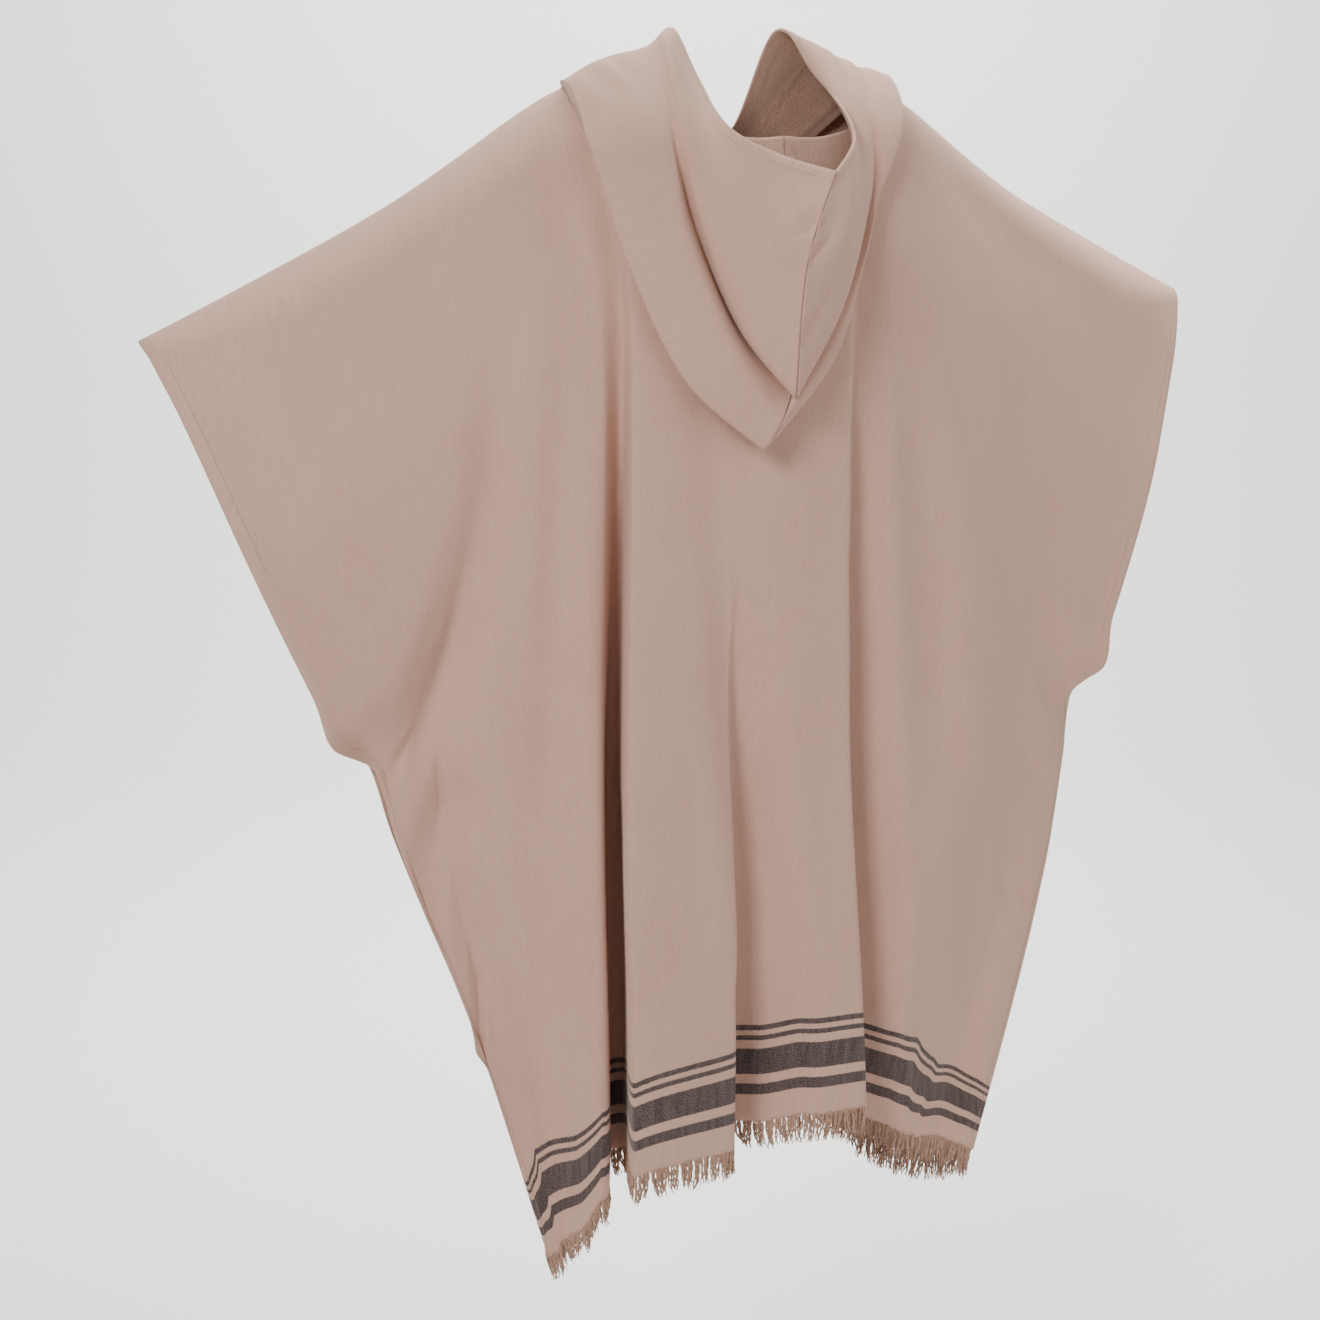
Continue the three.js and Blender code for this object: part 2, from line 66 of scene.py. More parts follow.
# Out along the seam, x, z, radius of the turn over the shoulder.
shoulder = [
    (0, 0, 2, 86), (95, 94, -8, 84), (166, 163, -33, 72), (212, 205, -57, 52),
    (256, 243, -82, 44), (335, 311, -124, 38), (460, 424, -181, 32), (575, 521, -227, 6),
]
# Down the cloth, x outwards, y, z.
leftSide = [
    (0, 521, -8, -227), (60, 494, 12, -280), (215, 438, 38, -412),
    (430, 362, 38, -600), (700, 272, 46, -835), (1005, 206, 50, -1066),
]
rightSide = [
    (0, 498, -8, -218), (60, 480, 10, -278), (215, 430, 40, -412),
    (430, 362, 56, -608), (700, 292, 80, -845), (1005, 224, 102, -1034),
]
# Pinch under each arm: down the cloth, then x, y, z added at the very side.
underarm = [
    (0, 0, 0, 0), (330, 0, 0, 0), (392, 9, 3, 4), (432, -11, -8, 8),
    (500, -4, -4, 2), (600, 0, 0, 0), (1005, 0, 0, 0),
]
cuff = [(0, 0), (60, 15), (215, 37), (370, 26), (430, 0), (1005, 0)]     # down, half opening
# Down the cloth, power of the section's curve.
roundness = [(0, 1.3), (250, 1.35), (430, 1.6), (700, 2.1), (1005, 2.3)]

# Folds from the wearer's right to left: place on the shoulder seam, x at 200 and 500 down
# and at the hem, depth (below zero a ridge), width to its right and left, share of the drop where
# it starts and is full, and how far the cloth beside it leans over it.
backPanel = {
    "facing": 1,
    "neckDepth": cut["neckBack"],
    # down the cloth, how far its middle stands out past the line between its sides
    "stand": [(0, 0), (60, 52), (120, 78), (250, 96), (430, 100), (700, 80), (1005, 62)],
    # how much higher the hem hangs than the shoulder's slope gives: place on the seam, rise
    "rise": [
        (-575, 0), (-520, 22), (-430, 40), (-360, 40), (-290, 28), (-202, -1), (-158, -22), (-118, -28),
        (-80, -18), (-45, 12), (0, 9), (35, 0), (90, 0), (158, 17), (178, 10), (202, 0), (252, -18),
        (300, -19), (350, -10), (430, 0), (575, 0),
    ],
    # mesh columns from one fold's line to the next
    "steps": [26, 22, 8, 14, 32, 30, 16, 14, 14, 12, 24],
    "folds": [
        (-400, -330, -280, -160, 26, 50, 45, 0.30, 1.00, 0),
        (-158, -150, -186, -142, 0, 30, 30, 0.00, 1.00, 0),
        (-118, -112, -135, -128, 8, 30, 40, 0.10, 0.60, 0),
        (-66, -60, -48, -79, 46, 36, 8, 0.08, 0.80, -15),
        (72, 72, 58, 52, 44, 44, 8, 0.40, 1.00, -9),
        (158, 136, 128, 112, -36, 40, 16, 0.05, 0.85, 0),
        (178, 150, 145, 130, 62, 9, 18, 0.05, 0.75, 44),
        (206, 178, 184, 168, -24, 13, 20, 0.20, 1.00, 0),
        (240, 222, 224, 178, 6, 24, 24, 0.15, 0.55, 0),
        (278, 256, 300, 194, 14, 24, 30, 0.15, 0.50, 0),
    ],
    # soft creases: rise (below zero a trough), width, then x and distance down along its run
    "creases": [
        (-5.0, 20, [(236, 70), (254, 212), (262, 357), (296, 446), (340, 500)]),
        (3.5, 15, [(220, 120), (226, 234), (226, 368), (220, 520)]),
        (-4.0, 13, [(207, 200), (209, 379), (212, 502), (206, 640)]),
        (3.5, 18, [(104, 430), (86, 600), (66, 730), (50, 860)]),
        (-5.5, 24, [(84, 480), (56, 660), (30, 830)]),
        (-5.0, 22, [(-118, 250), (-136, 419), (-150, 549), (-166, 720)]),
        (3.5, 26, [(-196, 300), (-204, 480), (-200, 680)]),
        (-7.0, 10, [(384, 394), (352, 436), (322, 462)]),
        (-6.0, 26, [(350, 520), (300, 566), (262, 600)]),
        (4.0, 20, [(352, 470), (302, 520), (268, 548)]),
        (-6.0, 15, [(300, 690), (276, 730), (252, 742)]),
        (-5.0, 14, [(-364, 420), (-330, 440), (-300, 474)]),
        (3.0, 18, [(-352, 470), (-316, 500), (-290, 540)]),
        (-3.5, 12, [(-300, 640), (-276, 656), (-258, 684)]),
        (-2.6, 16, [(150, 66), (178, 100), (206, 128)]),
        (-3.0, 40, [(-330, 120), (-300, 240), (-270, 360)]),
        (2.6, 36, [(390, 150), (352, 270), (322, 380)]),
        (-2.4, 30, [(120, 620), (110, 760), (100, 900)]),
        (-2.4, 24, [(-20, 560), (-30, 720), (-34, 900)]),
        (2.2, 22, [(10, 500), (2, 640), (-8, 780)]),
    ],
}
frontPanel = {
    "facing": -1,
    "neckDepth": cut["neckFront"],
    "stand": [(0, 0), (60, 52), (120, 80), (250, 140), (430, 168), (700, 200), (1005, 208)],
    "rise": [(-575, 0), (575, 0)],
    "steps": [26, 24, 16, 14, 34, 8, 20, 28],
    "folds": [
        (-400, -335, -285, -185, 30, 40, 30, 0.30, 1.00, 0),
        (-205, -190, -175, -120, 60, 40, 34, 0.15, 0.90, 0),
        (-158, -148, -140, -92, 0, 30, 30, 0.00, 1.00, 0),
        (-52, -50, -45, -30, 50, 40, 40, 0.35, 1.00, 0),
        (130, 130, 115, 80, 65, 40, 40, 0.20, 0.90, 0),
        (158, 154, 145, 100, 0, 30, 30, 0.00, 1.00, 0),
        (325, 300, 260, 160, 40, 40, 30, 0.30, 1.00, 0),
    ],
    "creases": [
        (-4.5, 20, [(-232, 90), (-246, 220), (-252, 370), (-300, 470)]),
        (3.5, 18, [(-214, 160), (-216, 320), (-206, 500)]),
        (-4.5, 22, [(226, 100), (244, 240), (250, 380), (292, 466)]),
        (3.5, 16, [(208, 200), (206, 360), (196, 540)]),
        (-4.0, 18, [(-96, 260), (-100, 420), (-94, 620)]),
        (3.5, 22, [(-20, 300), (-10, 470), (2, 680)]),
        (-4.0, 20, [(40, 330), (46, 520), (40, 760)]),
        (3.0, 20, [(78, 420), (76, 600), (66, 820)]),
        (-6.5, 11, [(380, 396), (344, 440), (312, 472)]),
        (-6.0, 12, [(-378, 398), (-340, 440), (-306, 470)]),
        (3.5, 22, [(350, 480), (306, 530), (276, 570)]),
        (3.5, 22, [(-350, 480), (-304, 526), (-270, 574)]),
        (-4.0, 16, [(286, 650), (262, 690), (240, 706)]),
        (-3.5, 15, [(-290, 700), (-262, 736), (-240, 748)]),
        (-3.0, 26, [(-120, 190), (-86, 214), (-50, 228)]),
        (-3.0, 24, [(124, 188), (90, 216), (46, 232)]),
        (-2.6, 38, [(330, 130), (304, 250), (276, 360)]),
        (2.6, 36, [(-384, 160), (-350, 270), (-320, 380)]),
    ],
}

# The hood, a row of cloth each from the face edge towards the neck seam. Along a row: the front
# of the throat, the cheek, the top of the shoulder, then down the back to the crown seam.
hoodLeft = {
    "side": 1,
    "rows": [
        [(2, -74, -90), (34, -56, -60), (52, -10, 21), (50, 42, -22),
         (56, 112, -61), (24, 142, -83), (-12, 170, -96)],
        [(2, -74, -93), (40, -56, -64), (64, 0, 18), (86, 86, -38),
         (83, 138, -106), (65, 186, -166), (34, 206, -170)],
        [(3, -74, -96), (47, -56, -68), (75, 4, 9), (95, 92, -50),
         (96, 140, -127), (75, 174, -214), (33, 190, -270)],
        [(3, -74, -100), (55, -55, -72), (88, 2, 3), (102, 89, -50),
         (96, 123, -132), (67, 148, -217), (23, 169, -268)],
        [(3, -74, -104), (65, -55, -78), (124, 6, -5), (125, 106, -61),
         (111, 145, -151), (85, 174, -232), (40, 177, -298)],
        [(4, -74, -108), (74, -54, -84), (157, 4, -22), (171, 94, -78),
         (155, 128, -166), (116, 153, -259), (52, 166, -317)],
        [(4, -74, -111), (80, -54, -87), (158, 3, -24), (141, 80, -64),
         (112, 113, -114), (73, 142, -190), (46, 154, -250)],
        [(4, -74, -113), (84, -54, -89), (157, 1, -24), (130, 76, -50),
         (99, 107, -84), (58, 130, -126), (22, 142, -156)],
    ],
    # rise, width, then column and row along its run, in steps of the table above
    "creases": [
        (-3.2, 6, [(5.95, 0.5), (5.7, 0.62), (5.3, 0.7)]),
        (-2.8, 5, [(5.95, 0.8), (5.65, 0.9), (5.3, 0.86)]),
        (-3.6, 7, [(5.95, 1.3), (5.6, 1.26), (5.1, 1.1)]),
        (-2.0, 8, [(2.1, 4.6), (2.4, 4.3), (2.8, 4.1)]),
        (-2.2, 7, [(2.0, 4.0), (2.3, 3.8), (2.7, 3.7)]),
        (-2.4, 9, [(2.0, 5.0), (2.5, 4.9), (3.0, 4.7)]),
        (2.0, 12, [(3.0, 4.4), (4.0, 4.5), (5.2, 4.6)]),
        (-1.8, 12, [(2.6, 1.3), (3.6, 1.5), (4.6, 1.5)]),
    ],
}
hoodRight = {
    "side": -1,
    "rows": [
        [(-2, -74, -90), (-34, -56, -60), (-51, -10, 22), (-64, 36, -14),
         (-61, 96, -46), (-48, 136, -71), (-12, 170, -96)],
        [(-2, -74, -93), (-40, -56, -64), (-71, 0, 13), (-66, 68, -29),
         (-60, 120, -79), (-16, 184, -138), (34, 206, -170)],
        [(-3, -74, -96), (-47, -56, -68), (-86, 2, 6), (-78, 78, -36),
         (-67, 126, -99), (-23, 172, -193), (33, 190, -270)],
        [(-3, -74, -100), (-55, -55, -72), (-99, 1, 1), (-90, 78, -40),
         (-77, 119, -103), (-30, 152, -194), (23, 169, -268)],
        [(-3, -74, -104), (-65, -55, -78), (-117, 4, -7), (-99, 91, -50),
         (-76, 130, -119), (-23, 161, -225), (40, 177, -298)],
        [(-4, -74, -108), (-74, -54, -84), (-141, 6, -13), (-121, 92, -53),
         (-66, 134, -138), (-24, 154, -242), (52, 166, -317)],
        [(-4, -74, -111), (-80, -54, -87), (-148, 4, -15), (-122, 80, -54),
         (-80, 118, -116), (-22, 145, -190), (46, 154, -250)],
        [(-4, -74, -113), (-84, -54, -89), (-149, 1, -22), (-119, 76, -47),
         (-91, 105, -82), (-34, 131, -124), (22, 142, -156)],
    ],
    "creases": [
        (-3.2, 6, [(5.95, 0.6), (5.6, 0.7), (5.2, 0.6)]),
        (-4.0, 5, [(5.98, 0.95), (5.6, 0.9), (5.1, 0.8)]),
        (-3.2, 7, [(5.95, 1.6), (5.6, 1.5), (5.1, 1.3)]),
        (-2.6, 7, [(2.1, 3.0), (2.4, 2.7), (2.9, 2.5)]),
        (-2.4, 7, [(2.0, 4.2), (2.4, 4.0), (2.9, 3.9)]),
        (-2.4, 8, [(2.0, 5.2), (2.5, 5.0), (3.1, 4.8)]),
        (2.0, 11, [(2.8, 2.0), (3.8, 2.1), (5.0, 2.0)]),
    ],
}
hoodMesh = {
    "across": 14,           # steps between two columns of the tables
    "down": 14,             # steps between two rows
    "hemWidth": 11.5,
    "hemExtra": 0.6,        # what the folded hem adds to each face
    "ribExtra": 0.15,       # the same for the seam allowance beside the crown seam
    "stripeClear": 400.0,   # its cloth starts this far up the pattern, past the stripes
}
# Places on the shoulder seam that the neck line passes, from the throat to the middle of the back.
neckFrontOuts = [4, 88, 157]
neckBackOuts = [124, 90, 46, 0]


def ease(value):
    t = np.clip(value, 0, 1)
    return t * t * (3 - 2 * t)


def bell(distance):
    u = np.clip(np.abs(distance), 0, 1)
    return (1 - u * u) ** 2


# a smooth value from one column of a table whose first column rises, without overshoot
def read(table, column, at):
    rows = np.asarray(table, float)
    x, y = rows[:, 0], rows[:, column]
    step = np.diff(x)
    slope = np.diff(y) / step
    tangent = np.zeros(len(x))
    tangent[0], tangent[-1] = slope[0], slope[-1]
    for i in range(1, len(x) - 1):
        if slope[i - 1] * slope[i] > 0:
            tangent[i] = 2 * slope[i - 1] * slope[i] / (slope[i - 1] + slope[i])
    at = np.asarray(at, float)
    i = np.clip(np.searchsorted(x, at, side="right") - 1, 0, len(x) - 2)
    t = np.clip((at - x[i]) / step[i], 0, 1)
    return ((1 + 2 * t) * (1 - t) ** 2 * y[i] + t * (1 - t) ** 2 * step[i] * tangent[i]
            + t * t * (3 - 2 * t) * y[i + 1] + t * t * (t - 1) * step[i] * tangent[i + 1])


# a smooth curve through points, cut into equal steps between one and the next
def thread(points, steps):
    points = np.asarray(points, float)
    last = len(points) - 1
    smooth = []
    for i in range(last):
        a, b, c, d = points[max(i - 1, 0)], points[i], points[i + 1], points[min(i + 2, last)]
        for j in range(steps):
            t = j / steps
            smooth.append(0.5 * (b * (2 - 5 * t * t + 3 * t ** 3) + a * (-t + 2 * t * t - t ** 3)
                                 + c * (t + 4 * t * t - 3 * t ** 3) + d * (-t * t + t ** 3)))
    smooth.append(points[last])
    return np.array(smooth)


def seamX(out):
    out = np.asarray(out, float)
    return np.sign(out) * read(shoulder, 1, np.abs(out)) * np.where(out > 0, 1, cut["rightArm"])


def gridNormals(grid):
    down = np.gradient(grid, axis=0)
    across = np.gradient(grid, axis=1)
    normal = np.cross(down, across)
    return normal / (np.linalg.norm(normal, axis=2, keepdims=True) + 1e-9)


# x of a fold at a distance down the cloth
def foldLine(fold, s):
    return read([(0, seamX(fold[0])), (200, fold[1]), (500, fold[2]), (cut["drop"], fold[3])], 1, s)


# middle of a body panel's cloth, with the distance down it and the place along the shoulder
def panelSurface(panel, rows):
    facing = panel["facing"]
    folds = panel["folds"]
    outs = [-cut["halfWidth"]] + [fold[0] for fold in folds] + [cut["halfWidth"]]
    out, gap, share = [], [], []
    for i, steps in enumerate(panel["steps"]):
        for j in range(steps):
            out.append(outs[i] + (outs[i + 1] - outs[i]) * j / steps)
            gap.append(i)
            share.append(j / steps)
    out = np.array(out + [cut["halfWidth"]])
    gap = np.array(gap + [len(outs) - 2])
    share = np.array(share + [1.0])
    away = np.abs(out)
    reach = away / cut["halfWidth"]
    neckShare = np.clip(away / cut["neckHalf"], 0, 1)
    top = panel["neckDepth"] * (1 - neckShare ** 2.4) ** 0.8
    seamZ = read(shoulder, 2, away) * np.where(out > 0, 1, cut["rightLift"])
    turn = read(shoulder, 3, away)
    seamXs = seamX(outs)
    straight = seamXs[gap] * (1 - share) + seamXs[gap + 1] * share
    nearSide = reach ** 9
    grid = np.zeros((rows + 1, len(out), 3))
    distance = np.zeros((rows + 1, len(out)))
    column = np.arange(len(out))
    for row in range(rows + 1):
        s = top + (cut["drop"] - top) * (row / rows) ** 1.15
        left = [read(leftSide, i, s) for i in (1, 2, 3)]
        right = [read(rightSide, i, s) for i in (1, 2, 3)]
        right[0] = -right[0]
        foldX = [foldLine(fold, s) for fold in folds]
        lines = np.array([right[0]] + foldX + [left[0]])
        x = lines[gap, column] * (1 - share) + lines[gap + 1, column] * share
        x = x + (seamX(out) - straight) * (1 - ease(s / cut["shoulderRoll"]))
        x = x + np.sign(out) * nearSide * read(underarm, 1, s)
        angle = np.minimum(s / turn, math.pi / 2)
        hanging = np.maximum(s - turn * math.pi / 2, 0)
        fallMiddle = turn * (1 - np.cos(angle)) + hanging * cut["slack"]
        fallSide = np.where(out > 0, leftSide[0][3] - left[2], rightSide[0][3] - right[2])
        z = seamZ - (fallMiddle + (fallSide - fallMiddle) * reach ** 2)
        z = z + nearSide * read(underarm, 3, s)
        z = z + read(panel["rise"], 1, out) * (s / cut["drop"]) ** 2
        across = (x - right[0]) / (left[0] - right[0])
        base = right[1] + (left[1] - right[1]) * across
        lens = 1 - np.clip(np.abs(2 * across - 1), 0, 1) ** read(roundness, 1, s)
        over = base + facing * turn * np.sin(angle)
        below = base + facing * read(panel["stand"], 1, s) * lens
        y = over + (below - over) * ease(s / cut["shoulderRoll"])
        depth = np.zeros_like(x)
        lean = np.zeros_like(x)
        for fold, lineX in zip(folds, foldX):
            aside = x - lineX
            grown = ease((s / cut["drop"] - fold[7]) / (fold[8] - fold[7]))
            beside = np.abs(aside) / (np.where(aside < 0, fold[5], fold[6]) * (1 + grown))
            leaning = ease(beside) * (1 - ease((beside - 1) / 2.5)) * (aside * fold[9] < 0)
            depth += fold[4] * grown * bell(beside)
            lean += fold[9] * grown * leaning
        clearOfSides = ease((x - right[0]) / cut["sideRoom"]) * ease((left[0] - x) / cut["sideRoom"])
        y = y - facing * depth * clearOfSides + nearSide * read(underarm, 2, s)
        x = x + lean * clearOfSides
        opening = reach ** 3 * read(cuff, 1, s)
        y = y + facing * opening
        if facing > 0:
            x = x + 0.5 * opening
        else:
            x = x - 0.5 * opening * (out > 0)
        # side by side at the sewn sides, edge to edge along the shoulder
        sideShare = np.clip((away - cut["halfWidth"]) / cut["cuffTurn"] + 1, 0, 1)
        y = y + facing * (cut["wall"] + cut["seamGap"]) / 2 * sideShare
        seamShare = (1 - sideShare) * (away >= cut["neckHalf"]) * np.clip(1 - s / 48, 0, 1)
        y = y + facing * cut["seamGap"] / 2 * seamShare
        grid[row] = np.stack([x, y, z], -1)
        distance[row] = s
    return grid, distance, out


# distance of every point from a short smooth run, and how far along the run its nearest place is
def fromRun(points, run):
    line = thread(run, 8)
    nearest = np.full(points.shape[:-1], 1e9)
    along = np.zeros(points.shape[:-1])
    for i in range(len(line) - 1):
        way = line[i + 1] - line[i]
        t = np.clip(((points - line[i]) @ way) / (way @ way), 0, 1)
        gapTo = np.linalg.norm(points - line[i] - t[..., None] * way, axis=-1)
        closer = gapTo < nearest
        nearest = np.where(closer, gapTo, nearest)
        along = np.where(closer, (i + t) / (len(line) - 1), along)
    return nearest, along


def creaseRise(points, creases):
    rise = np.zeros(points.shape[:-1])
    for height, width, run in creases:
        nearest, along = fromRun(points, run)
        ends = ease(along / 0.3) * ease((1 - along) / 0.3)
        rise += height * ends * bell(nearest / (1.8 * width))
    return rise


ripple = {"count": 7, "length": (90, 210), "slant": (-0.22, 0.22), "phase": (0, 6.28), "bend": (150, 260)}


# slow waves in the cloth that keep a long smooth stretch from looking like a moulding
def unevenness(across, down, seed):
    random.seed(seed)
    waves = np.zeros_like(across)
    for _ in range(ripple["count"]):
        length, slant = random.uniform(*ripple["length"]), random.uniform(*ripple["slant"])
        phase = random.uniform(*ripple["phase"])
        bend = np.sin(down / random.uniform(*ripple["bend"]))
        waves += np.sin((across + slant * down) * 2 * math.pi / length + phase + bend)
    return waves / ripple["count"]


def meshObject(name, points, faces, looks, lookOfFace=None, uv=None):
    mesh = bpy.data.meshes.new(name)
    mesh.from_pydata((np.asarray(points) * 0.001).tolist(), [], faces)
    for look in looks:
        mesh.materials.append(look)
    mesh.polygons.foreach_set("use_smooth", np.ones(len(faces), bool))
    if lookOfFace is not None:
        mesh.polygons.foreach_set("material_index", np.asarray(lookOfFace, np.int32))
    if uv is not None:
        layer = mesh.uv_layers.new(name="cloth")
        corner = np.zeros(len(mesh.loops), np.int32)
        mesh.loops.foreach_get("vertex_index", corner)
        layer.data.foreach_set("uv", (np.asarray(uv)[corner] * 0.001).astype(np.float32).ravel())
    mesh.update()
    thing = bpy.data.objects.new(name, mesh)
    bpy.context.scene.collection.objects.link(thing)
    return thing


# A closed wall round a grid of middle points, the first look on its outer face and the second on
# its inner one. half is half its thickness at each point, and edges says how far each of the four
# edges (top, bottom, first column, last column) is rounded outwards.
def clothWall(name, grid, normals, half, uv, looks, edges):
    rows, columns = grid.shape[:2]
    inner = rows * columns
    sheets = [grid + normals * half[..., None], grid - normals * half[..., None]]
    points = [sheet.reshape(-1, 3) for sheet in sheets]
    index = np.arange(inner).reshape(rows, columns)
    a, b = index[:-1, :-1].ravel(), index[1:, :-1].ravel()
    c, d = index[1:, 1:].ravel(), index[:-1, 1:].ravel()
    faces = np.concatenate([np.stack([a, b, c, d], 1), np.stack([a, d, c, b], 1) + inner])
    lookOfFace = [0] * len(a) + [1] * len(a)
    faces = faces.tolist()
    # the four edges as one closed run of places, each with its way outwards
    run = [(0, j) for j in range(columns)]
    run += [(i, columns - 1) for i in range(1, rows)]
    run += [(rows - 1, j) for j in range(columns - 2, -1, -1)]
    run += [(i, 0) for i in range(rows - 2, 0, -1)]
    rim = []
    for i, j in run:
        push = np.zeros(3)
        if i == 0:
            push += unit(grid[0, j] - grid[1, j]) * edges[0][j]
        if i == rows - 1:
            push += unit(grid[i, j] - grid[i - 1, j]) * edges[1]
        if j == 0:
            push += unit(grid[i, 0] - grid[i, 1]) * edges[2]
        if j == columns - 1:
            push += unit(grid[i, j] - grid[i, j - 1]) * edges[3]
        rim.append(grid[i, j] + push * half[i, j])
    points.append(np.array(rim))
    start = 2 * inner
    count = len(run)
    for k in range(count):
        (i, j), (m, n) = run[k], run[(k + 1) % count]
        p, q = index[i, j], index[m, n]
        r, t = start + k, start + (k + 1) % count
        faces += [[int(p), int(q), int(t), int(r)], [int(r), int(t), int(q) + inner, int(p) + inner]]
        lookOfFace += [0, 0]
    points = np.concatenate(points)
    flat = uv.reshape(-1, 2)
    rimUv = np.array([uv[i, j] for i, j in run])
    thing = meshObject(name, points, faces, looks, lookOfFace, np.concatenate([flat, flat, rimUv]))
    if signedVolume(thing) < 0:
        thing.data.flip_normals()
    return thing


def unit(way):
    return way / (np.linalg.norm(way) + 1e-9)


def signedVolume(thing):
    form = bmesh.new()
    form.from_mesh(thing.data)
    volume = form.calc_volume(signed=True)
    form.free()
    return volume


# a point of a row of points at a length along it
def pointAt(want, length, rows):
    return np.array([np.interp(want, length, rows[:, a]) for a in range(3)])


# lengths along every row of a grid from its first column
def arcAcross(grid):
    steps = np.linalg.norm(np.diff(grid, axis=1), axis=2)
    return np.concatenate([np.zeros((len(grid), 1)), np.cumsum(steps, axis=1)], axis=1)


# sRGB hex to the linear values that the shader wants
def paint(hexColour):
    parts = [int(hexColour[i:i + 2], 16) / 255 for i in (1, 3, 5)]
    return tuple(p / 12.92 if p <= 0.04045 else ((p + 0.055) / 1.055) ** 2.4 for p in parts) + (1.0,)


# settings that many nodes share
planar = {"noise_dimensions": "2D"}
multiplyAdd = {"operation": "MULTIPLY_ADD"}
rgba = {"data_type": "RGBA"}


# kind is Blender's name of the node without its common beginning
def addNode(tree, kind, settings=None, links=None):
    made = tree.nodes.new("ShaderNode" + kind)
    for key, value in (settings or {}).items():
        setattr(made, key, value)
    for key, value in (links or {}).items():
        if isinstance(value, bpy.types.NodeSocket):
            tree.links.new(value, made.inputs[key])
        else:
            made.inputs[key].default_value = value
    return made


def newMaterial(name, roughness, sheen, sheenHex):
    material = bpy.data.materials.new(name)
    material.use_nodes = True
    tree = material.node_tree
    shader = tree.nodes["Principled BSDF"]
    shader.inputs["Roughness"].default_value = roughness
    shader.inputs["Metallic"].default_value = 0.0
    shader.inputs["IOR"].default_value = 1.46         # cellulose
    shader.inputs["Specular IOR Level"].default_value = 0.25
    shader.inputs["Sheen Weight"].default_value = sheen
    shader.inputs["Sheen Roughness"].default_value = 0.55
    shader.inputs["Sheen Tint"].default_value = paint(sheenHex)
    return material, tree, shader


dye = {
    "body": "#C79F8E",          # warm beige with a little rose in it
    "bodyDark": "#B78F7A",
    "bodyLight": "#D1AC9B",
    "stripe": "#292324",        # charcoal weft
    "stripeFleck": "#6D5C59",   # beige warp showing through it
    "terry": "#BF9884",
    # painted shade: the darker colour drawn into the hollows between the terry loops, not a second dye
    "terryPaintedShade": "#95705D",
    "fringe": "#C79E86",
    "fringeDeep": "#9C7C69",
    "thread": "#A68A7C",
}
weave = {
    "yarnMm": 1.1,              # real picks are about 0.45 mm: drawn coarser so that they show
    "grainMm": (1.6, 1.6),      # every pair: across and along the warp
    "streakMm": (2.2, 26.0),
    "blotchMm": (70.0, 112.0),
    "fleckMm": (1.0, 1.3),
    "warpMm": (4.5, 40.0),
    "fuzzMm": 1.3,              # how far a stripe's edge strays
    "fuzzGrainMm": (1.5, 3.0),
    "loopMm": 1.9,              # terry loops
    "tuftMm": (9.0, 9.0),       # patches of loops that lean together
    "fibreMm": (0.7, 4.0),
}
# from the hem edge up, millimetres: the thin band, the thick band and two fine lines
stripes = [(27, 38), (47.5, 73.5), (82, 87), (92, 97.5)]


# a vector of the cloth's own millimetres, divided by the pattern's size across and down
def clothVector(tree, across, down):
    place = addNode(tree, "UVMap", {"uv_map": "cloth"})
    return addNode(tree, "Mapping", {}, {
        "Vector": place.outputs["UV"], "Scale": (1000 / across, 1000 / down, 1)}).outputs["Vector"]


